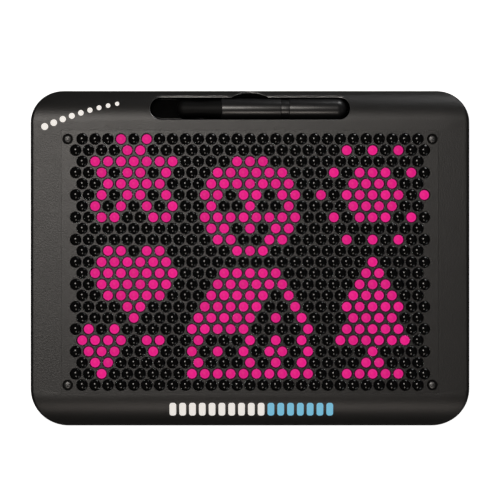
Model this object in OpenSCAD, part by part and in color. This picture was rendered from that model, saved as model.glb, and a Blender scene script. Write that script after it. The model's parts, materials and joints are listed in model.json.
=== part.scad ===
// Light-up push-pin sketching board with its stylus.
// The board lies on its back on four feet, +Z is out of the pin face,
// +Y is towards the pen tray and +X is to the right. Millimetres.

/* [Board] */
// Width of the board
board_w = 340; // [336:1:348]
// Height of the board, from the lower edge to the tray edge
board_h = 260; // [258:1:266]
// Radius of the two corners beside the pen tray
top_corner_r = 25; // [20:1:30]
// Radius of the two lower corners
low_corner_r = 29; // [22:1:32]
// Thickness of the case walls
wall = 2.4; // [2:0.1:2.8]
// Gap between the case and the table, set by the feet
foot_gap = 2.5; // [2.2:0.1:3]

/* [Pins] */
// Distance between neighbouring pins
pitch = 10; // [9.9:0.05:10.05]
// Diameter of the holes in the pin panel
hole_d = 9; // [8.8:0.1:9.1]
// Diameter of a pin's head
head_d = 8; // [7.6:0.1:8.2]
// Diameter of a pin's shank
shank_d = 4.4; // [4:0.1:4.6]
// How far a pin moves when it is pushed in
pin_travel = 4; // [3:0.5:4]

/* [Stylus] */
// Diameter of the stylus barrel
stylus_d = 16; // [14:0.5:16.5]

/* [Hidden] */
$fn = 64;

// Heights of the stack, from the table up
floor_t = 2.2;
floor_top = foot_gap + floor_t;
slide_z = floor_top + 0.3;
slide_t = 1;
ramp_slope = 1 / 5;
ramp_pad = 4;
ramp_h = pin_travel + ramp_pad * ramp_slope;
plate_z = slide_z + slide_t + ramp_h + 0.3;
plate_t = 1.5;
shank_z = plate_z + plate_t + 0.3;
guide_z = shank_z + pin_travel + 1.1;
guide_t = 4;
head_z = guide_z + guide_t + 0.5;
head_h = 8;
face_z = head_z + head_h + 1;
panel_t = 2.5;
seam_z = 15;

// Case shape
face_edge_r = 2.5;
back_edge_r = 6;
roll_r = 30;
roll_run = 24;
flat_y = board_h / 2 - roll_run;

// Pin field: rows of 27 and 28 pins in turn
row_count = 23;
row_step = pitch * sqrt(3) / 2;
field_y = -2.9;
field_half_h = (row_count - 1) / 2 * row_step;
shank_clear = 0.4;
panel_w = 292;
panel_h = 2 * field_half_h + hole_d + 4.4;
panel_gap = 0.1;
ledge = 1.5;
ledge_t = 2;

// The picture that the board shows. Each letter is a pushed-in pin of
// one figure, and each dot is a raised pin.
PICTURE = [
    "...F.F.....................",
    "....FF...............S.S.S..",
    ".FFFFFFF....AAA............",
    "..F.FF.F...AAAAAA...S.SSS.S.",
    "..FFFFF...AAAAAAA....SSSS..",
    "..F.FF.F..AA.AA.AA.S.SSSSS.S",
    ".F.F.F.F..A..A..A....SSSS..",
    "..FF..FF..AAAAAAAA..S.SSS.S.",
    "..........AA.A.AA..........",
    "...........AA..AA....S.S.S..",
    "..HH.HH.....AAA............",
    "..HHHHHH...............E....",
    ".HHHHHHH...BBBBB......EE...",
    "..HHHHHH...BBBBBB.....EEE...",
    "..HHHHH...BBBBB.B....EEEE..",
    "....HH....BBBBB..B...EEEEE..",
    "....H....BBBBB.B.B...EEEE..",
    ".K.K.....BBBBB....B..EEEEE..",
    "KKKK.TT..B...B.B.B..EEEEEE.",
    ".KKK..T..B.B.B.BB.B....E....",
    ".KK......B...B.B.B....EE...",
    "..K......BBBBBBBBBB..EEEEE..",
    "..........................."
];

// Pen tray and finger notch
tray_y = 116.2;
tray_w = 17.5;
tray_half_l = 77.5;
tray_floor = 12.7;
tub_wall = 2;
notch_r = 27.6;
notch_y = 101.2;
notch_floor = 18;

// Stylus, lying along X in the tray
stylus_z = tray_floor + 0.3 + stylus_d / 2;
nib_x = -57.6;
barrel_x = -22.3;
collar_x = 24.4;
cap_x = 30.4;
cap_end_x = 75.8;

// Screws
panel_screw_x = 141.2;
panel_recess_d = 8.4;
screw_d = 3;
screw_head_d = 5.6;
SCREWS = [[157, 60], [-157, 60], [157, -60], [-157, -60],
          [110, 116], [-110, 116], [92, -115], [-92, -115]];
boss_d = 7;

// Batteries: three AA cells end to end
cell_d = 14.5;
cell_l = 50.5;
cell_count = 3;
bay_y = -115;
bay_half_l = 79.5;
bay_half_w = 7.75;
bay_top = 20.6;
bay_wall = 1.2;
door_t = 1.8;
door_half_w = 8.9;
door_x0 = -81;
door_x1 = 88;
door_screw_x = 84.5;
cell_z = foot_gap + door_t + 0.3 + cell_d / 2;

// Electronics
board_x0 = 97;
board_x1 = 150;
board_z = 12;
board_t = 1.6;
BUTTON_X = [112, 132];
button_y = -115;
button_d = 10;
led_count = 12;
wire_d = 1.4;
strip_x = 149.4;

// Reset gear
slide_travel = pin_travel / ramp_slope;
rail_y = 55;
rail_w = 8;
RAMP_X = [-110, -20, 70];
ramp_l = ramp_h / ramp_slope;
neck_x = -10;
neck_w = 8;
grip_z = 0.8;

FEET = [[148, 98], [-148, 98], [148, -98], [-148, -98]];

function columns(row) = row % 2 == 0 ? 27 : 28;
function cell(row, column) = [
    (column - (columns(row) - 1) / 2) * pitch,
    field_y + field_half_h - row * row_step
];

// ---- Shared shapes -------------------------------------------------------

// The board seen from the front, drawn in by inset
module board_outline(inset = 0) {
    x = board_w / 2;
    y = board_h / 2;
    difference() {
        square([2 * (x - inset), 2 * (y - inset)], center = true);
        for (right = [false, true]) {
            corner_bite(x, y, top_corner_r, inset, right, true);
            corner_bite(x, y, low_corner_r, inset, right, false);
        }
    }
}

// What a round corner of radius r takes off a square one
module corner_bite(x, y, r, inset, right, upper) {
    translate([right ? x - r : r - x, upper ? y - r : r - y])
        difference() {
            translate([right ? 0 : -r, upper ? 0 : -r])
                square(r);
            circle(r = r - inset);
        }
}

// A flat bar in the XZ or YZ plane whose two upper corners are round
module round_topped(half_w, bottom, top, r) {
    translate([-half_w, bottom])
        square([2 * half_w, top - r - bottom]);
    translate([r - half_w, bottom])
        square([2 * (half_w - r), top - bottom]);
    for (side = [-1, 1])
        translate([side * (half_w - r), top - r])
            circle(r = r);
}

// The front shell seen from the side: flat, then rolling off at both ends.
// It runs a little past the board, whose outline cuts it to length.
module rolled_profile(inset) {
    top = face_z - inset;
    bottom = seam_z - 1;
    translate([-flat_y, bottom])
        square([2 * flat_y, top - bottom]);
    for (side = [-1, 1])
        intersection() {
            translate([side * flat_y, face_z - roll_r])
                circle(r = roll_r - inset, $fn = 128);
            translate([side > 0 ? flat_y : -flat_y - roll_run - 1, bottom])
                square([roll_run + 1, top - bottom]);
        }
}

module along_x() {
    rotate([90, 0, 90])
        linear_extrude(2 * board_w, center = true)
            children();
}

module along_y() {
    rotate([90, 0, 0])
        linear_extrude(2 * board_h, center = true)
            children();
}

// The solid that the front shell's outside encloses, drawn in by inset
module front_body(inset, bottom) {
    intersection() {
        translate([0, 0, bottom])
            linear_extrude(face_z)
                board_outline(inset);
        along_x()
            rolled_profile(inset);
        along_y()
            round_topped(board_w / 2 - inset, bottom, face_z - inset, face_edge_r);
    }
}

// The solid that the rear shell's outside encloses, drawn in by inset
module rear_body(inset, top) {
    low = foot_gap + inset;
    intersection() {
        translate([0, 0, low])
            linear_extrude(top - low)
                board_outline(inset);
        along_x()
            mirror([0, 1])
                round_topped(board_h / 2 - inset, -top, -low, back_edge_r);
        along_y()
            mirror([0, 1])
                round_topped(board_w / 2 - inset, -top, -low, back_edge_r);
    }
}

module stadium(half_l, w) {
    square([2 * half_l - w, w], center = true);
    for (side = [-1, 1])
        translate([side * (half_l - w / 2), 0])
            circle(d = w);
}

// A pan-head screw along Z, its head's top at the origin
module screw(shank_l, head_d = screw_head_d, d = screw_d, head_t = 1.2) {
    difference() {
        union() {
            translate([0, 0, -head_t])
                cylinder(d = head_d, h = head_t);
            translate([0, 0, -head_t - shank_l])
                cylinder(d = d, h = shank_l + 0.1);
        }
        for (turn = [0, 90])
            rotate(turn)
                translate([-head_d * 0.3, -0.4, -0.8])
                    cube([head_d * 0.6, 0.8, 1]);
    }
}

// ---- Case ------------------------------------------------------------------

module tray_outline(extra = 0) {
    translate([0, tray_y])
        stadium(tray_half_l + extra, tray_w + 2 * extra);
}

module notch_outline(extra = 0) {
    intersection() {
        translate([0, notch_y])
            circle(r = notch_r + extra);
        translate([-notch_r, tray_y])
            square([2 * notch_r, notch_r]);
    }
}

// Everything that hangs from the inside of the front shell
module front_inner_parts() {
    translate([0, 0, tray_floor - tub_wall])
        linear_extrude(face_z)
            tray_outline(tub_wall);
    translate([0, 0, notch_floor - tub_wall])
        linear_extrude(face_z)
            notch_outline(tub_wall);
    translate([0, field_y, face_z - panel_t - ledge_t])
        linear_extrude(face_z)
            difference() {
                square([panel_w + 4, panel_h + 4], center = true);
                square([panel_w - 2 * ledge, panel_h - 2 * ledge], center = true);
            }
    for (x = [-1, 1], y = [-1, 1])
        translate([x * panel_screw_x, field_y + y * field_half_h, face_z - panel_t - 5]) {
            cylinder(d = boss_d, h = face_z);
            translate([x > 0 ? 0 : -6, -2, 0])
                cube([6, 4, face_z]);
        }
    for (at = SCREWS)
        translate([at[0], at[1], seam_z])
            cylinder(d = boss_d, h = face_z);
}

module front_shell() {
    color([0.035, 0.035, 0.04])
        difference() {
            front_body(0, seam_z);
            difference() {
                front_body(wall, seam_z - 0.5);
                front_inner_parts();
            }
            translate([0, 0, tray_floor])
                linear_extrude(face_z)
                    tray_outline();
            translate([0, 0, notch_floor])
                linear_extrude(face_z)
                    notch_outline();
            translate([0, field_y, face_z - panel_t + panel_t / 2])
                cube([panel_w + 2 * panel_gap, panel_h + 2 * panel_gap, panel_t + 0.001],
                     center = true);
            for (x = [-1, 1], y = [-1, 1])
                translate([x * panel_screw_x, field_y + y * field_half_h, face_z - panel_t - 5.5])
                    cylinder(d = 2.6, h = 6);
            for (at = SCREWS)
                translate([at[0], at[1], seam_z - 1])
                    cylinder(d = screw_d + 0.1, h = 10);
        }
}

module pin_panel() {
    color([0.04, 0.04, 0.045])
        difference() {
            translate([0, 0, face_z - panel_t])
                linear_extrude(panel_t)
                    difference() {
                        translate([0, field_y])
                            square([panel_w, panel_h], center = true);
                        for (row = [0:row_count - 1], column = [0:columns(row) - 1])
                            translate(cell(row, column))
                                circle(d = hole_d);
                        for (x = [-1, 1], y = [-1, 1])
                            translate([x * panel_screw_x, field_y + y * field_half_h])
                                circle(d = 2.7);
                    }
            for (x = [-1, 1], y = [-1, 1])
                translate([x * panel_screw_x, field_y + y * field_half_h, face_z - 1.5])
                    cylinder(d = panel_recess_d, h = 2);
        }
}

module panel_screws() {
    color([0.18, 0.18, 0.19])
        for (x = [-1, 1], y = [-1, 1])
            translate([x * panel_screw_x, field_y + y * field_half_h, face_z - 0.3])
                screw(5, d = 2.5);
}

// Everything that stands on the inside of the rear shell
module rear_inner_parts() {
    translate([-bay_half_l - bay_wall, bay_y - bay_half_w - bay_wall, foot_gap])
        cube([2 * (bay_half_l + bay_wall), 2 * (bay_half_w + bay_wall), bay_top - foot_gap]);
    translate([door_screw_x, bay_y, foot_gap])
        cylinder(d = 6, h = 7);
    for (at = SCREWS)
        translate([at[0], at[1], foot_gap])
            cylinder(d = boss_d, h = seam_z - 0.2 - foot_gap);
    for (side = [-1, 1])
        translate([side * 144.5 - 1.5, field_y - 90, foot_gap])
            cube([3, 180, guide_z - foot_gap]);
    for (x = [board_x0 + 4, board_x1 - 4])
        translate([x, button_y, foot_gap])
            cylinder(d = 4, h = board_z - foot_gap);
}

module rear_shell() {
    color([0.03, 0.03, 0.035])
        difference() {
            union() {
                difference() {
                    rear_body(0, seam_z);
                    rear_body(wall, seam_z + 1);
                }
                rear_inner_parts();
            }
            // battery bay and its door's seat
            translate([-bay_half_l, bay_y - bay_half_w, 0])
                cube([2 * bay_half_l, 2 * bay_half_w, bay_top - bay_wall]);
            translate([door_x0 - 0.2, bay_y - door_half_w - 0.2, 0])
                cube([door_x1 - door_x0 + 0.4, 2 * door_half_w + 0.4, foot_gap + door_t + 0.1]);
            translate([door_screw_x, bay_y, 0])
                cylinder(d = 2.6, h = foot_gap + 6);
            for (at = SCREWS)
                translate([at[0], at[1], 0]) {
                    cylinder(d = screw_d + 0.3, h = seam_z + 1);
                    cylinder(d = 6.6, h = foot_gap + 5);
                }
            for (x = BUTTON_X)
                translate([x, button_y, 0])
                    cylinder(d = button_d + 0.8, h = 2 * floor_top);
            for (at = FEET)
                translate([at[0], at[1], 0])
                    cylinder(d = 16.2, h = foot_gap + 0.7);
            // slot for the neck of the reset slide
            translate([neck_x - neck_w / 2 - 0.6, field_y - neck_w / 2 - 0.6, 0])
                cube([slide_travel + neck_w + 1.2, neck_w + 1.2, 2 * floor_top]);
        }
}

module case_screws() {
    color([0.5, 0.5, 0.52])
        for (at = SCREWS)
            translate([at[0], at[1], foot_gap + 3.6])
                mirror([0, 0, 1])
                    screw(16);
}

module rubber_feet() {
    color([0.07, 0.07, 0.07])
        for (at = FEET)
            translate([at[0], at[1], 0]) {
                cylinder(d1 = 14.4, d2 = 16, h = 0.8);
                translate([0, 0, 0.8])
                    cylinder(d = 16, h = foot_gap - 0.1);
            }
}

// ---- Lighting ----------------------------------------------------------------

module light_guide() {
    color([0.85, 0.92, 0.95])
        translate([0, 0, guide_z])
            linear_extrude(guide_t)
                difference() {
                    translate([0, field_y])
                        square([294, 2 * field_half_h + 10], center = true);
                    for (row = [0:row_count - 1], column = [0:columns(row) - 1])
                        translate(cell(row, column))
                            circle(d = shank_d + 2 * shank_clear);
                }
}

// A strip of LEDs on edge, facing the light guide
module led_strip(side) {
    translate([side * strip_x - 0.6, field_y - 92, guide_z - 1.5])
        cube([1.2, 184, 7]);
    for (n = [0:led_count - 1])
        translate([side * (strip_x - 1.4) - 0.75, field_y - 84.5 + n * 15.2, guide_z + 0.5])
            cube([1.5, 3, 3]);
}

module led_strip_left() {
    color([0.9, 0.9, 0.88])
        led_strip(-1);
}

module led_strip_right() {
    color([0.9, 0.9, 0.88])
        led_strip(1);
}

function unit(v) = v / norm(v);
function direction(route, n) =
    unit(route[min(n + 1, len(route) - 1)] - route[max(n - 1, 0)]);
function wire_ring(route, n) =
    let (
        t = direction(route, n),
        u = unit(cross(t, [0.31, 0.43, 0.85])),
        v = cross(u, t)
    )
    [for (j = [0:7]) route[n] + wire_d / 2 * (u * cos(45 * j) + v * sin(45 * j))];

// A closed skin over a row of rings that all have the same number of points
module skin_over(rings) {
    last = len(rings) - 1;
    sides = len(rings[0]);
    polyhedron(
        points = [for (ring = rings, point = ring) point],
        faces = concat(
            [[for (j = [0:sides - 1]) j]],
            [for (i = [0:last - 1], j = [0:sides - 1])
                let (k = (j + 1) % sides)
                [i * sides + j, (i + 1) * sides + j, (i + 1) * sides + k, i * sides + k]],
            [[for (j = [sides - 1:-1:0]) last * sides + j]]
        )
    );
}

module led_wires() {
    lane_y = field_y - field_half_h - 6.5;
    pad_z = board_z + board_t;
    right_route = [[140, -108, pad_z], [140, -108, pad_z + 2], [141.5, -107.3, pad_z + 3.2],
                   [149.5, -101.5, 17], [151, -99.5, 17.8], [151.2, -97, 20]];
    left_route = [[101, -108, pad_z], [101, -108, pad_z + 1], [100, -106.5, pad_z + 2],
                  [97, lane_y, 15.5], [-143, lane_y, 15.5], [-149, -101.5, 16.5],
                  [-151, -99.5, 17.8], [-151.2, -97, 20]];
    color([0.75, 0.1, 0.1])
        for (route = [right_route, left_route])
            skin_over([for (n = [0:len(route) - 1]) wire_ring(route, n)]);
}

// ---- Pins ----------------------------------------------------------------------

// One clear pin, standing on its shank's end, with a domed head
module pin() {
    head_bottom = head_z - shank_z;
    top = head_bottom + head_h;
    cylinder(d = shank_d, h = head_bottom + 0.1);
    intersection() {
        translate([0, 0, head_bottom])
            cylinder(d = head_d, h = head_h);
        translate([0, 0, top - 9])
            sphere(r = 9);
        translate([0, 0, head_bottom])
            cylinder(r1 = head_d / 2 + head_h - 0.8, r2 = head_d / 2 - 0.8, h = head_h);
    }
}

module lit_pins(letter) {
    color([1, 0.08, 0.58])
        for (row = [0:row_count - 1], column = [0:columns(row) - 1])
            if (PICTURE[row][column] == letter)
                translate([cell(row, column)[0], cell(row, column)[1], shank_z])
                    pin();
}

module raised_pins(first, last) {
    color([0.25, 0.25, 0.27, 0.6])
        for (row = [first - 1:last - 1], column = [0:columns(row) - 1])
            if (PICTURE[row][column] == ".")
                translate([cell(row, column)[0], cell(row, column)[1], shank_z + pin_travel])
                    pin();
}

// ---- Reset gear ------------------------------------------------------------------

// A flat plate under all the pins. Its sloping feet ride up the slide's ramps.
module reset_plate() {
    foot_drop = plate_z - slide_z - slide_t;
    color([0.92, 0.92, 0.9]) {
        translate([-141, field_y - 98.5, plate_z])
            cube([282, 197, plate_t]);
        for (x = RAMP_X, side = [-1, 1])
            translate([x + ramp_l - ramp_pad, field_y + side * rail_y, plate_z])
                rotate([90, 0, 0])
                    linear_extrude(rail_w - 2, center = true)
                        polygon([[0, 0.1], [ramp_pad, 0.1], [ramp_pad, 0.3 - foot_drop],
                                 [0, 0.3 + ramp_pad * ramp_slope - foot_drop]]);
    }
}

// Two rails with ramps, joined by a bridge that carries the neck
module reset_slide() {
    color([0.85, 0.45, 0.1]) {
        for (side = [-1, 1])
            translate([-120, field_y + side * rail_y - rail_w / 2, slide_z])
                cube([230, rail_w, slide_t]);
        translate([neck_x - 8, field_y - rail_y, slide_z])
            cube([16, 2 * rail_y, slide_t]);
        translate([neck_x - neck_w / 2, field_y - neck_w / 2, grip_z + 1.5])
            cube([neck_w, neck_w, slide_z + 0.1 - grip_z - 1.5]);
        for (x = RAMP_X, side = [-1, 1])
            translate([x, field_y + side * rail_y, slide_z + slide_t])
                rotate([90, 0, 0])
                    linear_extrude(rail_w - 2, center = true)
                        polygon([[0, -0.1], [ramp_l, -0.1], [ramp_l, 0], [0, ramp_h]]);
    }
}

module reset_grip() {
    color([0.1, 0.1, 0.11])
        difference() {
            translate([neck_x, field_y, grip_z])
                linear_extrude(1.5)
                    stadium(18, 16);
            for (n = [-3:3])
                translate([neck_x + n * 3.2 - 0.5, field_y - 5, grip_z - 1])
                    cube([1, 10, 1.5]);
        }
}

// ---- Batteries -------------------------------------------------------------------

module battery_door() {
    color([0.04, 0.04, 0.045])
        difference() {
            translate([door_x0, bay_y - door_half_w, foot_gap])
                cube([door_x1 - door_x0, 2 * door_half_w, door_t]);
            translate([door_screw_x, bay_y, 0])
                cylinder(d = screw_d, h = 2 * floor_top);
            translate([door_screw_x, bay_y, 0])
                cylinder(d = 5.2, h = foot_gap + 1);
            for (n = [0:5])
                translate([door_x0 + 6 + 2 * n, bay_y - 5, foot_gap - 0.4])
                    cube([0.8, 10, 0.8]);
        }
}

module battery_door_screw() {
    color([0.5, 0.5, 0.52])
        translate([door_screw_x, bay_y, foot_gap + 0.2])
            mirror([0, 0, 1])
                screw(4, head_d = 4.8, d = 2.4, head_t = 0.8);
}

module batteries() {
    first = -bay_half_l + 6.6;
    color([0.15, 0.35, 0.6])
        for (n = [0:cell_count - 1])
            translate([first + n * cell_l, bay_y, cell_z])
                rotate([0, 90, 0]) {
                    cylinder(d = cell_d, h = cell_l - 1.2);
                    cylinder(d = 5.4, h = cell_l - 0.2);
                }
}

// A wound contact spring: a round wire swept along a helix by its own functions
spring_turns = 4;
spring_steps = 14;
spring_sides = 6;
spring_wire_r = 0.4;
spring_x0 = -bay_half_l + 1;
spring_x1 = -bay_half_l + 6;
function spring_point(step, side) =
    let (
        t = step / (spring_turns * spring_steps),
        turn = 360 * step / spring_steps,
        r = 5 - 2 * t + spring_wire_r * cos(360 * side / spring_sides),
        x = spring_x0 + (spring_x1 - spring_x0) * t + spring_wire_r * sin(360 * side / spring_sides)
    )
    [x, bay_y + r * cos(turn), cell_z + r * sin(turn)];

module battery_spring() {
    color([0.8, 0.8, 0.8])
        skin_over([for (step = [0:spring_turns * spring_steps])
            [for (side = [0:spring_sides - 1]) spring_point(step, side)]]);
}

module battery_contact() {
    color([0.8, 0.8, 0.8])
        translate([bay_half_l - 0.5, bay_y - 6, cell_z - 6])
            cube([0.4, 12, 12]);
}

// ---- Electronics -----------------------------------------------------------------

module main_board() {
    color([0.1, 0.4, 0.2])
        difference() {
            translate([board_x0, -123, board_z])
                cube([board_x1 - board_x0, 16.5, board_t]);
            for (x = [board_x0 + 4, board_x1 - 4])
                translate([x, button_y, 0])
                    cylinder(d = 2, h = 2 * board_z);
        }
}

// The controller chip and the smoothing capacitor
module board_components() {
    color([0.1, 0.1, 0.1])
        translate([0, 0, board_z + board_t]) {
            translate([118, -119, 0])
                cube([8, 8, 1.5]);
            translate([108, -115, 0])
                cylinder(d = 5, h = 5);
        }
}

module tact_switches() {
    color([0.2, 0.2, 0.2])
        for (x = BUTTON_X) {
            translate([x - 3, button_y - 3, board_z - 3.5])
                cube([6, 6, 3.5]);
            translate([x, button_y, board_z - 4.7])
                cylinder(d = 3.5, h = 1.3);
        }
}

module button(x) {
    translate([x, button_y, foot_gap - 1])
        cylinder(d = button_d, h = floor_t + 1.4);
    translate([x, button_y, floor_top + 0.2])
        cylinder(d = button_d + 3, h = 1);
}

module power_button() {
    color([0.8, 0.1, 0.1])
        button(BUTTON_X[0]);
}

module mode_button() {
    color([0.6, 0.6, 0.62])
        button(BUTTON_X[1]);
}

// ---- Stylus ----------------------------------------------------------------------

module on_stylus_axis(x) {
    translate([x, tray_y, stylus_z])
        rotate([0, 90, 0])
            children();
}

module stylus_nib() {
    nib_r = 6.5;
    color([0.03, 0.03, 0.03]) {
        on_stylus_axis(nib_x + nib_r) {
            sphere(r = nib_r);
            cylinder(r1 = nib_r, r2 = nib_r - 0.5, h = 14);
        }
        on_stylus_axis(nib_x + nib_r + 14)
            cylinder(r1 = nib_r - 0.5, r2 = stylus_d / 2 - 0.8, h = barrel_x - nib_x - nib_r - 14);
    }
}

module stylus_barrel() {
    color([0.05, 0.05, 0.055])
        on_stylus_axis(barrel_x)
            cylinder(d = stylus_d, h = collar_x - barrel_x);
}

module stylus_collar() {
    color([0.02, 0.02, 0.02])
        on_stylus_axis(collar_x)
            cylinder(d = stylus_d - 1.2, h = cap_x - collar_x);
}

module stylus_cap() {
    color([0.05, 0.05, 0.055]) {
        on_stylus_axis(cap_x)
            cylinder(d = stylus_d, h = cap_end_x - cap_x - stylus_d / 2);
        on_stylus_axis(cap_end_x - stylus_d / 2)
            sphere(d = stylus_d);
    }
}

front_shell();
pin_panel();
panel_screws();
rear_shell();
case_screws();
rubber_feet();
light_guide();
led_strip_left();
led_strip_right();
led_wires();
lit_pins("F");  // lit_pins_flower
lit_pins("A");  // lit_pins_face
lit_pins("S");  // lit_pins_sun
lit_pins("H");  // lit_pins_heart
lit_pins("K");  // lit_pins_small_heart
lit_pins("T");  // lit_pins_tiny_heart
lit_pins("B");  // lit_pins_house
lit_pins("E");  // lit_pins_tree
raised_pins(1, 3);  // raised_pins_rows_1_3
raised_pins(4, 6);  // raised_pins_rows_4_6
raised_pins(7, 9);  // raised_pins_rows_7_9
raised_pins(10, 12);  // raised_pins_rows_10_12
raised_pins(13, 15);  // raised_pins_rows_13_15
raised_pins(16, 18);  // raised_pins_rows_16_18
raised_pins(19, 21);  // raised_pins_rows_19_21
raised_pins(22, 23);  // raised_pins_rows_22_23
reset_plate();
reset_slide();
reset_grip();
battery_door();
battery_door_screw();
batteries();
battery_spring();
battery_contact();
main_board();
board_components();
tact_switches();
power_button();
mode_button();
stylus_nib();
stylus_barrel();
stylus_collar();
stylus_cap();
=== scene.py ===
import json
import bpy
import numpy as np
from mathutils.geometry import delaunay_2d_cdt
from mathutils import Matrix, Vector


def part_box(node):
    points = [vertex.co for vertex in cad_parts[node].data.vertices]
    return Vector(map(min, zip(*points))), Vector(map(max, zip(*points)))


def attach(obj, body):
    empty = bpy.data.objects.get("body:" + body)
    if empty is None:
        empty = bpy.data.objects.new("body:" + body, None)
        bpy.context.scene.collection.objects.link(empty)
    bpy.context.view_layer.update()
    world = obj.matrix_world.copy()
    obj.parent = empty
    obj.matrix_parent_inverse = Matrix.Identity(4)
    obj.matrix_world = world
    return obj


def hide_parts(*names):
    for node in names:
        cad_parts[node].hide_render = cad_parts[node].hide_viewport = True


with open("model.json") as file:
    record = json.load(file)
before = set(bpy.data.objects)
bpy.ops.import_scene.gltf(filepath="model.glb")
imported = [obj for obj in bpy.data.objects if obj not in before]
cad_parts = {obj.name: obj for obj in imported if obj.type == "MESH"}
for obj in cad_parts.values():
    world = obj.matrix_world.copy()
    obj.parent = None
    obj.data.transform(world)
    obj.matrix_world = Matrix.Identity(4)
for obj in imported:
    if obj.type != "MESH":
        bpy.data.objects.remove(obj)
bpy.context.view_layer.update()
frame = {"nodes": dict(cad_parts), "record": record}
MM = 0.001


# ---- Rear shell -------------------------------------------------------------------------
# The lower half of the case, moulded in black ABS with a fine sparked texture.
# It carries the battery bay and the screw bosses, and all else is dropped into it.

BOARD_W, BOARD_H = 340 * MM, 260 * MM
TOP_CORNER_R, LOW_CORNER_R = 25 * MM, 29 * MM
REAR_EDGE_R = 6 * MM
SEAM_STEPS = np.array([(0.35, 0), (0.35, 0.15), (0, 0.5)]) * MM
OPENING_DEPTH, DOOR_DEPTH, SCREW_DEPTH, FOOT_DEPTH = 2.2 * MM, 1.9 * MM, 5 * MM, 0.7 * MM
REAR_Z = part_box("rear_shell")[0][2]
SEAM_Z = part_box("front_shell")[0][2]
SCREW_PLACES = np.array([(157, 60), (-157, 60), (157, -60), (-157, -60),
                         (110, 116), (-110, 116), (92, -115), (-92, -115)]) * MM
FOOT_PLACES = np.array([(148, 98), (-148, 98), (148, -98), (-148, -98)]) * MM


def arc(centre, radius, start, end, count):
    """Points on a circle round centre, count of them from start to end degrees."""
    turn = np.radians(np.linspace(start, end, count))
    return np.asarray(centre) + radius * np.column_stack([np.cos(turn), np.sin(turn)])


def circle(centre, radius, count):
    """A closed circle of count points, counterclockwise."""
    return arc(centre, radius, 0, 360 - 360 / count, count)


def rectangle(low, high, r, grow=0.0, count=5):
    """A rectangle from low to high with corners of radius r, moved out by grow, counterclockwise."""
    (x0, y0), (x1, y1) = low, high
    corners = ((x1 - r, y0 + r, -90), (x1 - r, y1 - r, 0), (x0 + r, y1 - r, 90), (x0 + r, y0 + r, 180))
    return np.vstack([arc((x, y), r + grow, turn, turn + 90, count) for x, y, turn in corners])


def board_loop(inset):
    """The board's outline drawn in by inset: four arcs about fixed centres, counterclockwise."""
    x, y = BOARD_W / 2, BOARD_H / 2
    low, top = LOW_CORNER_R, TOP_CORNER_R
    corners = ((x - low, low - y, low, -90), (x - top, y - top, top, 0),
               (top - x, y - top, top, 90), (low - x, low - y, low, 180))
    return np.vstack([arc((cx, cy), r - inset, turn, turn + 90, 20) for cx, cy, r, turn in corners])


def lifted(loop, z):
    """The plane loop as points in space, at one height or at a height for each point."""
    return np.column_stack([loop, np.broadcast_to(z, len(loop))])


def bands(rings):
    """Quads between each closed ring and the next. With counterclockwise rings that climb,
    the faces look away from the middle, and with rings that go down they look towards it."""
    count = len(rings[0])
    here = np.arange(count)
    after = np.roll(here, -1)
    first = np.column_stack([here, after, after + count, here + count])
    return np.vstack(rings), np.vstack([first + count * n for n in range(len(rings) - 1)])


def inside(points, loops):
    """True where a point lies inside an odd number of the loops, by counting crossings."""
    odd = np.zeros(len(points), bool)
    for loop in loops:
        for (x0, y0), (x1, y1) in zip(loop, np.roll(loop, -1, axis=0)):
            if y0 != y1:
                spans = (points[:, 1] > y0) != (points[:, 1] > y1)
                odd ^= spans & (points[:, 0] < x0 + (points[:, 1] - y0) * (x1 - x0) / (y1 - y0))
    return odd


def patch(loops, height, extra=None, up=True, convex=False):
    """Triangles that fill the first loop less the others, with extra points inside it, each corner
    lifted to height(points). Where every loop is convex, a hole's triangles are known by having
    all their corners on its loop."""
    plane = np.vstack(loops if extra is None else [*loops, extra])
    starts = np.cumsum([0] + [len(loop) for loop in loops[:-1]])
    edges = [(s + n, s + (n + 1) % len(loop)) for s, loop in zip(starts, loops) for n in range(len(loop))]
    _, _, faces, origin, *_ = delaunay_2d_cdt([tuple(p) for p in plane], edges, [], 0, 1e-8)
    faces = np.array([o[0] for o in origin])[np.array(faces)]
    if convex:
        loop_of = np.repeat(np.arange(len(loops)), [len(loop) for loop in loops])[faces]
        faces = faces[(loop_of.min(axis=1) != loop_of.max(axis=1)) | (loop_of.max(axis=1) == 0)]
    else:
        faces = faces[inside(plane[faces].mean(axis=1), loops)]
    return lifted(plane, height(plane)), faces if up else faces[:, ::-1]


def flat(z):
    """A height function that is z everywhere."""
    return lambda points: np.full(len(points), z)


def grid_points(x_values, y_values, loops, clear):
    """The points of a grid that lie in the loops' region, at least clear from every loop point."""
    points = np.array(np.meshgrid(x_values, y_values)).reshape(2, -1).T
    points = points[inside(points, loops)]
    rims = np.vstack(loops)
    gap = np.array([np.hypot(*(rims - p).T).min() for p in points])
    return points[gap > clear]


def moulded(name, parts, body, crease=35):
    """One object from (points, faces) parts, joined where their points agree to 10 nm.
    Edges sharper than crease degrees stay sharp and the rest is smooth."""
    starts = np.cumsum([0] + [len(points) for points, _ in parts[:-1]])
    points = np.vstack([points for points, _ in parts])
    _, first, same = np.unique(np.round(points * 1e8), axis=0, return_index=True, return_inverse=True)
    faces = [face for start, (_, part) in zip(starts, parts) for face in same.ravel()[part + start].tolist()]
    used, renumbered = np.unique(np.concatenate(faces), return_inverse=True)
    ends = np.cumsum([len(face) for face in faces])[:-1]
    mesh = bpy.data.meshes.new(name)
    mesh.from_pydata(points[first][used], [], [f.tolist() for f in np.split(renumbered, ends)])
    mesh.update()
    mesh.shade_smooth()
    mesh.set_sharp_from_angle(angle=np.radians(crease))
    piece = bpy.data.objects.new(name, mesh)
    bpy.context.scene.collection.objects.link(piece)
    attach(piece, body)
    return piece


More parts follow.
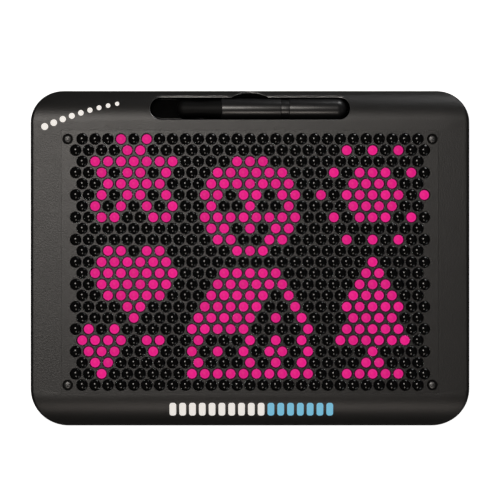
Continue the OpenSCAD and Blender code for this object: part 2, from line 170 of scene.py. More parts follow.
def walled(piece, thickness):
    """Gives an outer skin its wall, on the inner side."""
    wall = piece.modifiers.new("wall", "SOLIDIFY")
    wall.thickness = thickness
    wall.offset = -1
    return piece


def evened(piece):
    """Lets the wide faces set the shading at their edges, so that flat parts look flat."""
    even = piece.modifiers.new("even", "WEIGHTED_NORMAL")
    even.mode = "FACE_AREA"
    even.keep_sharp = True
    return piece


def moulded_surface():
    """A node group for moulded plastic: a colour that drifts, a roughness with faint smears,
    and the height of a fine sparked grain. All three follow Object coordinates."""
    group = bpy.data.node_groups.new("moulded_surface", "ShaderNodeTree")
    for label, kind, value in (("Color", "Color", (0.02, 0.02, 0.02, 1)), ("Drift", "Float", 0.2),
                               ("Grain Scale", "Float", 1500), ("Roughness", "Float", 0.4),
                               ("Smear", "Float", 0.05)):
        made = group.interface.new_socket(label, in_out="INPUT", socket_type="NodeSocket" + kind)
        made.default_value = value
    for label, kind in (("Color", "Color"), ("Roughness", "Float"), ("Height", "Float")):
        group.interface.new_socket(label, in_out="OUTPUT", socket_type="NodeSocket" + kind)
    nodes, links = group.nodes, group.links
    given, result = nodes.new("NodeGroupInput"), nodes.new("NodeGroupOutput")
    place = nodes.new("ShaderNodeTexCoord").outputs["Object"]

    def noise(scale, detail):
        made = nodes.new("ShaderNodeTexNoise")
        made.inputs["Scale"].default_value = scale
        made.inputs["Detail"].default_value = detail
        links.new(place, made.inputs["Vector"])
        return made

    def maths(kind, *values):
        made = nodes.new("ShaderNodeMath")
        made.operation = kind
        for socket, value in zip(made.inputs, values):
            if isinstance(value, bpy.types.NodeSocket):
                links.new(value, socket)
            else:
                socket.default_value = value
        return made.outputs[0]

    drift = maths("MULTIPLY_ADD", maths("SUBTRACT", noise(22, 3).outputs["Fac"], 0.5),
                  given.outputs["Drift"], 1.0)
    tinted = nodes.new("ShaderNodeVectorMath")
    tinted.operation = "SCALE"
    links.new(given.outputs["Color"], tinted.inputs[0])
    links.new(drift, tinted.inputs["Scale"])
    links.new(tinted.outputs[0], result.inputs["Color"])
    smear = maths("MULTIPLY_ADD", maths("SUBTRACT", noise(70, 4).outputs["Fac"], 0.5),
                  given.outputs["Smear"], given.outputs["Roughness"])
    links.new(smear, result.inputs["Roughness"])
    grain = noise(1500, 2)
    links.new(given.outputs["Grain Scale"], grain.inputs["Scale"])
    links.new(grain.outputs["Fac"], result.inputs["Height"])
    return group


MOULDED_SURFACE = moulded_surface()


def plastic(name, colour, roughness, grain=0.1, grain_scale=1500, drift=0.25, smear=0.06,
            coat=0.0, metallic=0.0, transmission=0.0, ior=1.5):
    """A finish whose colour, roughness and grain come from the moulded surface group."""
    made = bpy.data.materials.new(name)
    made.use_nodes = True
    nodes, links = made.node_tree.nodes, made.node_tree.links
    shader = nodes["Principled BSDF"]
    shader.inputs["IOR"].default_value = ior
    shader.inputs["Metallic"].default_value = metallic
    shader.inputs["Transmission Weight"].default_value = transmission
    shader.inputs["Coat Weight"].default_value = coat
    shader.inputs["Coat Roughness"].default_value = 0.08
    surface = nodes.new("ShaderNodeGroup")
    surface.node_tree = MOULDED_SURFACE
    for label, value in (("Color", (*colour, 1)), ("Drift", drift), ("Grain Scale", grain_scale),
                         ("Roughness", roughness), ("Smear", smear)):
        surface.inputs[label].default_value = value
    bump = nodes.new("ShaderNodeBump")
    bump.inputs["Strength"].default_value = grain
    bump.inputs["Distance"].default_value = 0.2 * MM
    links.new(surface.outputs["Color"], shader.inputs["Base Color"])
    links.new(surface.outputs["Roughness"], shader.inputs["Roughness"])
    links.new(surface.outputs["Height"], bump.inputs["Height"])
    links.new(bump.outputs["Normal"], shader.inputs["Normal"])
    return made


def plan_box(node):
    """The lowest and highest corner of a node seen from above."""
    low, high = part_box(node)
    return np.array(low[:2]), np.array(high[:2])


def rear_wells():
    """The openings in the back: each one's loop, the height where its wall ends, and its floor."""
    door_low, door_high = plan_box("battery_door")
    grip_middle = sum(plan_box("reset_grip")) / 2
    floor_z = REAR_Z + OPENING_DEPTH
    door_gap = np.array([0.2, 0.06]) * MM
    wells = [(rectangle(door_low - door_gap, door_high + door_gap, 0.6 * MM), REAR_Z + DOOR_DEPTH, False),
             (rectangle(grip_middle - 4.6 * MM, grip_middle + np.array([24.6, 4.6]) * MM, 0.8 * MM),
              floor_z, False)]
    wells += [(circle(p, 3.3 * MM, 24), REAR_Z + SCREW_DEPTH, False) for p in SCREW_PLACES]
    wells += [(circle(sum(plan_box(n)) / 2, 5.4 * MM, 32), floor_z, False)
              for n in ("power_button", "mode_button")]
    wells += [(circle(p, 8.1 * MM, 40), REAR_Z + FOOT_DEPTH, True) for p in FOOT_PLACES]
    return wells


def rear_skin():
    """A flat back with a quarter-round edge, a wall up to the seam, and its wells.
    The edge goes in by r(1 - sin t) and up by r(1 - cos t). The wall steps in at the seam."""
    turns = np.radians(np.linspace(0, 90, 9))
    rim = [lifted(board_loop(REAR_EDGE_R * (1 - np.sin(t))), REAR_Z + REAR_EDGE_R * (1 - np.cos(t)))
           for t in turns]
    wall = [lifted(board_loop(inset), SEAM_Z - gap) for inset, gap in SEAM_STEPS[::-1]]
    wells = rear_wells()
    loops = [rim[0][:, :2]] + [loop for loop, _, _ in wells]
    spread = grid_points(np.arange(-156, 157, 13) * MM, np.arange(-117, 118, 13) * MM, loops, 2 * MM)
    parts = [patch(loops, flat(REAR_Z), spread, up=False), bands(rim + wall)]
    parts += [bands([lifted(loop, top), lifted(loop, REAR_Z)]) for loop, top, _ in wells]
    parts += [patch([loop], flat(top), up=False) for loop, top, floored in wells if floored]
    return parts


rear_piece = evened(walled(moulded("rear_shell_skin", rear_skin(), "board"), 1.6 * MM))
rear_piece.data.materials.append(plastic("rear_shell_plastic", (0.013, 0.013, 0.014), 0.5, 0.6, 1100))
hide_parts("rear_shell")


# ---- Batteries and their contacts -------------------------------------------------------
# Three jacketed cells lie end to end in the bay, between a wound spring and a flat contact,
# both of nickel-plated steel.


def finish(node, material):
    """Gives a CAD node that is shown as it is its material."""
    piece = frame["nodes"][node]
    if not piece.material_slots:
        piece.data.materials.append(None)
    for place in piece.material_slots:
        place.material = material


finish("batteries", plastic("battery_jacket", (0.02, 0.07, 0.2), 0.3, 0.02, coat=0.5))
contact_steel = plastic("contact_steel", (0.72, 0.71, 0.68), 0.28, 0.08, 900, metallic=1.0)
finish("battery_spring", contact_steel)
finish("battery_contact", contact_steel)


# ---- Main board and switches ------------------------------------------------------------
# A small fibreglass board with a green mask. Its controller, its capacitor and the two
# push switches under the buttons are soldered on.

finish("main_board", plastic("circuit_board", (0.02, 0.14, 0.05), 0.35, 0.3, 2500, coat=0.4))
finish("board_components", plastic("chip_epoxy", (0.02, 0.02, 0.022), 0.5, 0.3, 3000))
finish("tact_switches", plastic("switch_plastic", (0.035, 0.035, 0.038), 0.4, 0.1))


# ---- Reset gear -------------------------------------------------------------------------
# A slide with ramps is pushed by the grip on the back, and its ramps lift a white plate
# that pushes all the pins up again.

finish("reset_slide", plastic("slide_plastic", (0.75, 0.26, 0.04), 0.35, 0.05))
finish("reset_plate", plastic("white_plastic", (0.8, 0.8, 0.78), 0.4, 0.05, drift=0.06))


# ---- Light guide and LED strips ---------------------------------------------------------
# A drilled acrylic sheet spreads the light of the two LED strips on its ends. A pin that is
# pushed in brings its head down to the sheet and lights up.

finish("light_guide", plastic("clear_acrylic", (0.9, 0.96, 0.98), 0.05, 0.0, transmission=1.0, ior=1.49))
led_strip = plastic("led_strip", (0.85, 0.85, 0.82), 0.35, 0.05, drift=0.06)
finish("led_strip_left", led_strip)
finish("led_strip_right", led_strip)
finish("led_wires", plastic("wire_insulation", (0.5, 0.02, 0.02), 0.35, 0.05))


# ---- Pins -------------------------------------------------------------------------------
# Clear polished pins with domed heads, one in each hole. A raised pin looks black against
# the dark case, and a pushed-in pin glows pink from the light guide.

PITCH = 10 * MM
PIN_HEAD_R, PIN_SHANK_R = 4 * MM, 2.2 * MM
PIN_HEAD_H = 8 * MM
PIN_DOME_R = 6 * MM
PIN_SIDES, PIN_RINGS = 12, 5
BELOW_HEAD = 1.3
PIN_IOR = 1.42
GLOW_MIDDLE, GLOW_RIM = 0.4, 0.69
GLOW_FADE = ((0.745, 0.35), (0.775, 0.05), (1.0, 0.0))
FIELD_Y = -2.9 * MM
ROW_STEP = PITCH * 3 ** 0.5 / 2
ROWS = 23


def pin_lattice():
    """The middle of every pin: rows of 27 and 28 in turn, a pitch apart, in a triangular net."""
    row, column = np.meshgrid(np.arange(ROWS), np.arange(28), indexing="ij")
    count = 27 + row % 2
    x = (column - (count - 1) / 2) * PITCH
    y = FIELD_Y + ((ROWS - 1) / 2 - row) * ROW_STEP
    return np.column_stack([x[column < count], y[column < count]])


PINS = pin_lattice()


def pins_of(node):
    """The middles of the pins in a CAD node: those that some of its points lie within a head of."""
    points = np.array([v.co[:2] for v in frame["nodes"][node].data.vertices])
    return PINS[[np.hypot(*(points - p).T).min() < PIN_HEAD_R * 1.1 for p in PINS]]


def pin_profile(top, bottom):
    """One pin's rings from the crown down: radius, height, and the normal's outward part.
    The dome falls by R - sqrt(R^2 - r^2) at radius r, down to the edge of the head."""
    dome = np.array([0.55, 1]) * PIN_HEAD_R
    fall = PIN_DOME_R - np.sqrt(PIN_DOME_R ** 2 - dome ** 2)
    radius = np.append(dome, [PIN_HEAD_R, PIN_SHANK_R, PIN_SHANK_R])
    under = top - PIN_HEAD_H
    height = np.append(top - fall, [under, under, bottom])
    outward = np.append(dome / PIN_DOME_R, [1, 1, 1])
    return radius, height, outward


def pin_faces():
    """One pin's faces as point numbers: a crown of triangles, bands of quads, and a foot."""
    here = 1 + np.arange(PIN_SIDES)
    after = np.roll(here, -1)
    crown = np.column_stack([np.zeros_like(here), here, after])
    band = np.column_stack([here, here + PIN_SIDES, after + PIN_SIDES, after])
    sides = (band[None] + PIN_SIDES * np.arange(PIN_RINGS - 1)[:, None, None]).reshape(-1, 4)
    foot = (here + PIN_SIDES * (PIN_RINGS - 1))[::-1][None]
    return crown, sides, foot


def pin_set(name, node, body, material):
    """All the pins of a CAD node as one mesh: one pin's points, carried to every place at once.
    Each point keeps its share of the head's radius, BELOW_HEAD under the head's edge, and each
    pin has a tone of its own, the fraction of a sine of its place."""
    places = pins_of(node)
    radius, height, outward = pin_profile(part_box(node)[1][2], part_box(node)[0][2])
    ring = circle((0, 0), 1, PIN_SIDES)
    crown = np.array([[0, 0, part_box(node)[1][2]]])
    points = np.vstack([crown, *(lifted(r * ring, z) for r, z in zip(radius, height))])
    normals = np.vstack([[[0, 0, 1]], *(lifted(o * ring, np.sqrt(1 - o ** 2)) for o in outward)])
    count = len(points)
    faces = []
    for part in pin_faces():
        every_pin = part[None] + count * np.arange(len(places))[:, None, None]
        faces += every_pin.reshape(-1, part.shape[1]).tolist()
    mesh = bpy.data.meshes.new(name)
    mesh.from_pydata((points[None] + lifted(places, 0)[:, None]).reshape(-1, 3), [], faces)
    mesh.update()
    mesh.shade_smooth()
    mesh.normals_split_custom_set_from_vertices(np.tile(normals, (len(places), 1)))
    ring_share = np.append(radius[:2] / PIN_HEAD_R, [BELOW_HEAD] * (PIN_RINGS - 2))
    share = np.concatenate([[0], np.repeat(ring_share, PIN_SIDES)])
    tone = np.modf(np.abs(np.sin(places @ np.array([9127.3, 5113.7]))) * 437.7)[0]
    for label, values in (("pin_radius", np.tile(share, len(places))), ("pin_tone", np.repeat(tone, count))):
        mesh.attributes.new(label, "FLOAT", "POINT").data.foreach_set("value", values)
    mesh.materials.append(material)
    piece = bpy.data.objects.new(name, mesh)
    bpy.context.scene.collection.objects.link(piece)
    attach(piece, body)
    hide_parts(node)


def clear_pin_plastic(name, colour, roughness, glow=None, glow_rim=None, strength=0.0):
    """An opaque stand-in for clear plastic over the dark inside: a deep colour under a gloss.
    A lit pin also glows, a little paler towards the rim and from pin to pin. The glow's ramp
    runs over the share of the head's radius divided by BELOW_HEAD, and is dark past the rim."""
    made = bpy.data.materials.new(name)
    made.use_nodes = True
    nodes, links = made.node_tree.nodes, made.node_tree.links
    shader = nodes["Principled BSDF"]
    shader.inputs["IOR"].default_value = PIN_IOR
    radius, tone = nodes.new("ShaderNodeAttribute"), nodes.new("ShaderNodeAttribute")
    radius.attribute_name, tone.attribute_name = "pin_radius", "pin_tone"
    shade = nodes.new("ShaderNodeMath")
    shade.operation = "MULTIPLY_ADD"
    links.new(tone.outputs["Fac"], shade.inputs[0])
    shade.inputs[1].default_value = 0.03
    shade.inputs[2].default_value = roughness
    links.new(shade.outputs[0], shader.inputs["Roughness"])
    # Painted shade: the base colour falls to 0.35 of itself from 0.3 of the head's radius out to its rim and
    # down its side.
    ramp = nodes.new("ShaderNodeValToRGB")
    links.new(radius.outputs["Fac"], ramp.inputs["Fac"])
    ramp.color_ramp.elements[0].position = 0.3
    ramp.color_ramp.elements[0].color = (*colour, 1)
    ramp.color_ramp.elements[1].color = (*(np.array(colour) * 0.35), 1)
    links.new(ramp.outputs["Color"], shader.inputs["Base Color"])
    if glow:
        paler = nodes.new("ShaderNodeValToRGB")
        along = nodes.new("ShaderNodeMath")
        along.operation = "DIVIDE"
        links.new(radius.outputs["Fac"], along.inputs[0])
        along.inputs[1].default_value = BELOW_HEAD
        links.new(along.outputs[0], paler.inputs["Fac"])
        stops = paler.color_ramp
        stops.elements[0].position, stops.elements[0].color = GLOW_MIDDLE, (*glow, 1)
        stops.elements[1].position, stops.elements[1].color = GLOW_RIM, (*glow_rim, 1)
        for place, share in GLOW_FADE:
            stops.elements.new(place).color = (*(np.array(glow) * share), 1)
        level = nodes.new("ShaderNodeMath")
        level.operation = "MULTIPLY_ADD"
        links.new(tone.outputs["Fac"], level.inputs[0])
        level.inputs[1].default_value = 0.16
        level.inputs[2].default_value = 0.92
        lit = nodes.new("ShaderNodeVectorMath")
        lit.operation = "SCALE"
        links.new(paler.outputs["Color"], lit.inputs[0])
        links.new(level.outputs[0], lit.inputs["Scale"])
        links.new(lit.outputs[0], shader.inputs["Emission Color"])
        shader.inputs["Emission Strength"].default_value = strength
    return made


raised_pin_plastic = clear_pin_plastic("raised_pin_plastic", (0.004, 0.004, 0.004), 0.04)
lit_pin_plastic = clear_pin_plastic("lit_pin_plastic", (0.1, 0.002, 0.03), 0.55, (1.0, 0.008, 0.28),
                                    (1.0, 0.03, 0.33), 0.7)
for node in frame["record"]["behaviour"]["bodies"]["lit_pins"]:
    pin_set(node + "_heads", node, "lit_pins", lit_pin_plastic)
for body, members in frame["record"]["behaviour"]["bodies"].items():
    if body.startswith("raised_rows"):
        for node in members:
            pin_set(node + "_heads", node, body, raised_pin_plastic)


# ---- Pin panel --------------------------------------------------------------------------
# A moulded black ABS plate with a chamfered hole for each pin. It drops onto a ledge in the
# front shell and is held by a screw in each corner.

FACE_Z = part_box("pin_panel")[1][2]
PANEL_LOW_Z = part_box("pin_panel")[0][2]
PANEL_LOW, PANEL_HIGH = plan_box("pin_panel")
PANEL_SCREW_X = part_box("panel_screws")[1][0] - 2.8 * MM
PANEL_SCREW_PLACES = np.array([(x, FIELD_Y + y * (ROWS - 1) / 2 * ROW_STEP)
                               for x in (-PANEL_SCREW_X, PANEL_SCREW_X) for y in (-1, 1)])
PANEL_RECESS_R, PANEL_RECESS_DEPTH = 4.2 * MM, 1.5 * MM
PANEL_CORNER_R = 1 * MM
HOLE_R = 4.5 * MM
HOLE_SIDES = 20
CASE_COLOUR, CASE_IOR = (0.0065, 0.006, 0.0055), 1.59


def holed_plate():
    """A plate with a ring of points round every hole. The flat parts are triangles between the
    rings, and each hole's lip goes from 0.12 mm outside it down into it."""
    turn = 2 * np.pi * np.arange(HOLE_SIDES) / HOLE_SIDES
    ring = np.column_stack([np.cos(turn), np.sin(turn)])

    def circles(radius, z):
        return lifted((PINS[:, None] + radius * ring).reshape(-1, 2), z)

    def hole_bands(levels):
        here = np.arange(len(PINS) * HOLE_SIDES).reshape(len(PINS), HOLE_SIDES)
        quad = np.dstack([here, np.roll(here, -1, axis=1)]).reshape(-1, 2)
        step = len(PINS) * HOLE_SIDES
        quads = [np.column_stack([quad[:, 0], quad[:, 1], quad[:, 1] + step, quad[:, 0] + step]) + step * n
                 for n in range(len(levels) - 1)]
        return np.vstack([circles(r, z) for r, z in levels]), np.vstack(quads)

    lip = [(HOLE_R + out * MM, FACE_Z - down * MM) for out, down in ((0.12, 0), (0, 0.12))]
    edge = [(grow * MM, FACE_Z - down * MM) for grow, down in ((-0.05, 0), (-0.015, 0.015), (0, 0.05))]

    def plate(z, hole_r, grow, up):
        outline = rectangle(PANEL_LOW, PANEL_HIGH, PANEL_CORNER_R, grow)
        recesses = [circle(p, PANEL_RECESS_R, 32) for p in PANEL_SCREW_PLACES]
        return patch([outline, *(PINS[:, None] + hole_r * ring), *recesses], flat(z), up=up, convex=True)

    outline_rings = [lifted(rectangle(PANEL_LOW, PANEL_HIGH, PANEL_CORNER_R, g), z) for g, z in edge]
    bottom_ring = lifted(rectangle(PANEL_LOW, PANEL_HIGH, PANEL_CORNER_R), PANEL_LOW_Z)
    floor_z = FACE_Z - PANEL_RECESS_DEPTH
    parts = [plate(FACE_Z, lip[0][0], edge[0][0], True),
             plate(PANEL_LOW_Z, HOLE_R, 0, False),
             hole_bands(lip + [(HOLE_R, PANEL_LOW_Z)]),
             bands([bottom_ring] + outline_rings[::-1])]
    for p in PANEL_SCREW_PLACES:
        loop = circle(p, PANEL_RECESS_R, 32)
        parts += [bands([lifted(loop, FACE_Z), lifted(loop, floor_z)]),
                  patch([loop], flat(floor_z)), patch([loop], flat(PANEL_LOW_Z), up=False)]
    return parts


def face_middles(piece):
    """The middle point of every face of a piece, one row each."""
    middles = np.zeros(3 * len(piece.data.polygons))
    piece.data.polygons.foreach_get("center", middles)
    return middles.reshape(-1, 3)


panel_piece = evened(moulded("pin_panel_plate", holed_plate(), "board"))
panel_piece.data.materials.append(plastic("pin_panel_plastic", CASE_COLOUR, 0.38, 0.6, 1200, ior=CASE_IOR))
# The same plastic below the face, made darker and given an index under any real plastic's: painted shade that
# keeps the holes dark.
panel_piece.data.materials.append(plastic("panel_hole_painted_shade", (0.002, 0.002, 0.002), 0.6, 0, ior=1.2))
below_face = face_middles(panel_piece)[:, 2] < FACE_Z - 0.3 * MM
panel_piece.data.polygons.foreach_set("material_index", below_face.astype(np.int32))
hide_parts("pin_panel")


# ---- Panel screws -----------------------------------------------------------------------
# Four black pan-head screws with a cross recess hold the panel to the front shell's bosses.

SCREW_SIDES = 64
PANEL_SCREW_HEAD_R, PANEL_SCREW_HEAD_H, PANEL_SCREW_SHANK_R = 2.8 * MM, 1.2 * MM, 1.25 * MM


def screw(place, top, head_r, head_h, shank_r, bottom, facing=1, cross=0.3):
    """A screw as rings round its axis. Its head is a shallow dome with a cross recess: two
    crossed slots of half width 0.14 head radii that fade out at 0.55 of its radius."""
    turn = 2 * np.pi * np.arange(SCREW_SIDES) / SCREW_SIDES
    share = np.array([0.04, 0.14, 0.24, 0.34, 0.44, 0.52, 0.6, 0.72, 0.84, 0.93, 0.98, 1.0])
    r, a = np.meshgrid(share, turn, indexing="ij")
    from_arm = np.minimum(np.abs(r * np.sin(a)), np.abs(r * np.cos(a)))
    slot = np.clip((0.17 - from_arm) / 0.05, 0, 1) * np.clip((0.56 - r) / 0.08, 0, 1)
    dome = head_h * (0.45 * r ** 2 + 0.25 * np.clip((r - 0.84) / 0.16, 0, 1) ** 2)
    z = top - facing * (dome + slot * cross * head_r)
    x, y = place[0] + r * head_r * np.cos(a), place[1] + facing * r * head_r * np.sin(a)
    rings = list(np.stack([x, y, z], axis=-1))
    under = top - facing * head_h
    for radius, height in ((head_r, under), (shank_r, under), (shank_r, bottom)):
        rings.append(np.column_stack([place[0] + radius * np.cos(turn),
                                      place[1] + facing * radius * np.sin(turn),
                                      np.full(SCREW_SIDES, height)]))
    points, faces = bands(rings[::-1])
    first = np.arange(SCREW_SIDES)
    ends = [first[::-1][None], (first + SCREW_SIDES * (len(rings) - 1))[None]]
    return [(points, faces)] + [(points, end) for end in ends]


screw_low, screw_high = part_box("panel_screws")
panel_screw_parts = [part for p in PANEL_SCREW_PLACES
                     for part in screw(p, screw_high[2], PANEL_SCREW_HEAD_R, PANEL_SCREW_HEAD_H,
                                       PANEL_SCREW_SHANK_R, screw_low[2])]
panel_screws = moulded("panel_screw_set", panel_screw_parts, "board")
panel_screws.data.materials.append(plastic("dark_screw_steel", (0.16, 0.16, 0.16), 0.4, 0.1, metallic=1.0))
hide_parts("panel_screws")


# ---- Front shell ------------------------------------------------------------------------
# The upper half of the case, moulded in satin black ABS. Its face rolls off at both long
# edges, and the stylus tray and its finger notch are moulded into the upper one.

ROLL_R = 30 * MM
ROLL_START = BOARD_H / 2 - 24 * MM
CROWN_START, CROWN_FALL = 149 * MM, 0.45 * MM
SIDE_EDGE_R, LONG_EDGE_R = 2.5 * MM, 0.4 * MM
TRAY_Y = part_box("stylus_barrel")[0][1] + 8 * MM
TRAY_R, TRAY_HALF_L, TRAY_FLOOR = 8.75 * MM, 77.5 * MM, 12.7 * MM
TRAY_LIP_R, TRAY_FILLET_R = 0.5 * MM, 1.5 * MM
BRIGHT_LIP_SHARE = 0.66
TRAY_SIDE_POINTS, TRAY_ARC_POINTS = 13, 25
NOTCH_R, NOTCH_FLOOR = 27.6 * MM, 18 * MM
NOTCH_DEPTH = TRAY_Y - 101.2 * MM


def face_height(points):
    """The face is flat, then drops by R - sqrt(R^2 - s^2) at s past the roll's start. At the
    short sides it also falls by the square of the way out from the crown's start."""
    s = np.clip(np.abs(points[:, 1]) - ROLL_START, 0, None)
    beyond = np.clip(np.abs(points[:, 0]) - CROWN_START, 0, None) / (BOARD_W / 2 - CROWN_START)
    crown = CROWN_FALL * beyond ** 2
    return FACE_Z - ROLL_R + np.sqrt(ROLL_R ** 2 - s ** 2) - crown


def tray_loop(grow, notched):
    """The tray's outline moved out by grow, counterclockwise: a slot with round ends, with the
    finger notch's arc in its upper side or with that side straight."""
    r = TRAY_R + grow
    end_x = TRAY_HALF_L - TRAY_R
    rise = NOTCH_DEPTH + r
    notch_x = np.sqrt((NOTCH_R + grow) ** 2 - rise ** 2)
    steps = np.linspace(0, 1, TRAY_SIDE_POINTS + 1, endpoint=False)[1:, None]
    corner, far = np.array([notch_x, TRAY_Y + r]), np.array([end_x, TRAY_Y + r])
    lower_left, lower_right = np.array([-end_x, TRAY_Y - r]), np.array([end_x, TRAY_Y - r])
    if notched:
        lean = np.degrees(np.arccos(notch_x / (NOTCH_R + grow)))
        middle = arc((0, TRAY_Y - NOTCH_DEPTH), NOTCH_R + grow, lean, 180 - lean, TRAY_ARC_POINTS)
    else:
        middle = corner + np.linspace(0, 1, TRAY_ARC_POINTS)[:, None] * np.array([-2 * notch_x, 0])
    mirrored = middle[-1] + (np.array([-end_x, TRAY_Y + r]) - middle[-1]) * steps
    return np.vstack([
        lower_left + (lower_right - lower_left) * steps,
        arc((end_x, TRAY_Y), r, -90, 90, TRAY_ARC_POINTS),
        far + (middle[0] - far) * steps,
        middle,
        mirrored,
        arc((-end_x, TRAY_Y), r, 90, 270, TRAY_ARC_POINTS),
    ])


def front_skin():
    """The face, its rounded rim and wall, the window's lip, and the tray with its notch.
    The rim's radius grows from the long edges to the sides with the square of the outline's turn."""
    outline = board_loop(0)
    outward = (outline - board_loop(1 * MM)) / MM
    edge_r = LONG_EDGE_R + (SIDE_EDGE_R - LONG_EDGE_R) * outward[:, 0] ** 2
    rim = []
    for t in np.radians(np.linspace(90, 0, 8)):
        loop = outline - outward * (edge_r * (1 - np.sin(t)))[:, None]
        rim.append(lifted(loop, face_height(loop) - edge_r * (1 - np.cos(t))))
    wall = [lifted(board_loop(inset), SEAM_Z + gap) for inset, gap in SEAM_STEPS]
    window_gap = 0.04 * MM
    window = [lifted(rectangle(PANEL_LOW - window_gap, PANEL_HIGH + window_gap, PANEL_CORNER_R, grow * MM),
                     FACE_Z - down * MM) for grow, down in ((0.05, 0), (0.015, 0.015), (0, 0.05), (0, 2.5))]
    lip = []
    for t in np.radians(np.linspace(0, 90, 6)):
        loop = tray_loop(TRAY_LIP_R * (1 - np.sin(t)), True)
        lip.append(lifted(loop, face_height(loop) - TRAY_LIP_R * (1 - np.cos(t))))
    lip.append(lifted(tray_loop(0, True), NOTCH_FLOOR))
    tub = [lifted(tray_loop(0, False), NOTCH_FLOOR)]
    for t in np.radians(np.linspace(0, 90, 6)):
        tub.append(lifted(tray_loop(-TRAY_FILLET_R * (1 - np.cos(t)), False),
                          TRAY_FLOOR + TRAY_FILLET_R * (1 - np.sin(t))))
    before = 2 * TRAY_SIDE_POINTS + TRAY_ARC_POINTS
    middle = slice(before, before + TRAY_ARC_POINTS)
    shelf = np.vstack([lip[-1][middle, :2], tub[0][middle, :2][::-1][1:-1]])
    loops = [rim[-1][:, :2], window[0][:, :2], lip[0][:, :2]]
    roll_rows = np.arange(ROLL_START / MM, 128, 1.5)
    rows = np.concatenate([-roll_rows[::-1], [-104, 101.5, 104], roll_rows]) * MM
    spread = grid_points(np.arange(-166, 167, 4) * MM, rows, loops, 0.9 * MM)
    return [bands(wall + rim), bands(window), bands(lip), bands(tub), patch(loops, face_height, spread),
            patch([shelf], flat(NOTCH_FLOOR)), patch([tub[-1][:, :2]], flat(TRAY_FLOOR))]


front_piece = evened(walled(moulded("front_shell_skin", front_skin(), "board"), 1.1 * MM))
front_piece.data.materials.append(plastic("front_shell_plastic", CASE_COLOUR, 0.4, 0.7, 1200, ior=CASE_IOR))
# The whole shell is black plastic. The lip's grey metal is a painted highlight that gives its edge a bright
# line, and the tray's darker colour and index of refraction under any real plastic's are painted shade that
# keeps its inside dark.
front_piece.data.materials.append(plastic("tray_lip_painted_highlight", (0.45, 0.45, 0.45), 0.3, 0, drift=0.1, metallic=1.0))
front_piece.data.materials.append(plastic("tray_painted_shade", (0.002, 0.002, 0.002), 0.05, 0, drift=0.1, ior=1.25))
middles = face_middles(front_piece)
# Index 1 is the lip's painted highlight and index 2 the tray's painted shade.
painted_light_index = inside(middles[:, :2], [tray_loop(BRIGHT_LIP_SHARE * TRAY_LIP_R, True)]).astype(np.int32)
painted_light_index[(painted_light_index > 0) & (middles[:, 2] < face_height(middles) - TRAY_LIP_R)] = 2
front_piece.data.polygons.foreach_set("material_index", painted_light_index)
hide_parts("front_shell")


# ---- Printed trim -----------------------------------------------------------------------
# White and light-blue ink printed on the face: a row of bars below the pins, and a curved
# row of dots at the upper left.


def divided(loop, longest):
    """A closed loop with its long steps cut into equal ones, none over longest."""
    ends = np.roll(loop, -1, axis=0)
    cuts = np.maximum(1, np.ceil(np.hypot(*(ends - loop).T) / longest - 1e-6)).astype(int)
    return np.vstack([a + (b - a) * np.arange(n)[:, None] / n for a, b, n in zip(loop, ends, cuts)])


def printed_shape(loop, thickness=0.06 * MM):
    """A closed film of ink over a plane loop, thickness proud of the face and 0.1 mm into it."""
    loop = divided(loop, 1.3 * MM)
    under = lifted(loop, face_height(loop) - 0.1 * MM)
    over = lifted(loop, face_height(loop) + thickness)
    low, high = loop.min(axis=0), loop.max(axis=0)
    rows = np.arange(low[1] + 1 * MM, high[1] - 0.5 * MM, 1.3 * MM)
    spread = grid_points(np.linspace(low[0], high[0], 5)[1:-1], rows, [loop], 0.4 * MM)
    return [patch([loop], lambda p: face_height(p) + thickness, spread),
            patch([loop], lambda p: face_height(p) - 0.1 * MM, spread, up=False), bands([under, over])]


BAR_COUNT = 17
BAR_STEP = 7.6 * MM
BAR_Y = -117 * MM
BAR_HALF, BAR_CORNER_R = np.array([2.6, 5.0]) * MM, 1.9 * MM
WHITE_BARS = 10
DOT_COUNT = 9
INK_PAINTED_GLOW = 0.55
bars = {"white": [], "blue": []}
for n in range(BAR_COUNT):
    middle = np.array([(n - (BAR_COUNT - 1) / 2) * BAR_STEP + 1 * MM, BAR_Y])
    loop = rectangle(middle - BAR_HALF, middle + BAR_HALF, BAR_CORNER_R, count=8)
    bars["white" if n < WHITE_BARS else "blue"] += printed_shape(loop)
dots = []
for n in range(DOT_COUNT):
    middle = np.array([-159 + 7 * n, 102 + 3.1 * n - 0.11 * n ** 2]) * MM
    dots += printed_shape(circle(middle, (2.7 - 0.13 * n) * MM, 24))
for name, parts, slot, colour in (
        ("printed_white_marks", bars["white"] + dots, "white_ink", (0.8, 0.78, 0.75)),
        ("printed_blue_marks", bars["blue"], "blue_ink", (0.16, 0.47, 0.66))):
    printed = moulded(name, parts, "board")
    ink = plastic(slot, colour, 0.45, 0.05, drift=0.05)
    ink_inputs = ink.node_tree.nodes["Principled BSDF"].inputs
    # The ink's emission is a painted glow that makes the print brighter than the lamps alone light it.
    ink_inputs["Emission Color"].default_value = (*colour, 1)
    ink_inputs["Emission Strength"].default_value = INK_PAINTED_GLOW
    printed.data.materials.append(ink)


# ---- Case screws, battery door and feet -------------------------------------------------
# Eight zinc-plated screws go up through the rear shell into the front one. The door over
# the batteries has a screw of its own, and four rubber feet are stuck into shallow seats.

screw_steel = plastic("screw_steel", (0.6, 0.59, 0.56), 0.3, 0.08, 900, metallic=1.0)
for name, node, places, head_r, head_h, shank_r in (
        ("case_screw_set", "case_screws", SCREW_PLACES, 2.8, 1.2, 1.5),
        ("battery_door_screw_head", "battery_door_screw",
         [sum(plan_box("battery_door_screw")) / 2], 2.4, 0.8, 1.2)):
    low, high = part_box(node)
    parts = [part for p in places
             for part in screw(p, low[2], head_r * MM, head_h * MM, shank_r * MM, high[2], facing=-1)]
    screws = moulded(name, parts, "board")
    screws.data.materials.append(screw_steel)
    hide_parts(node)


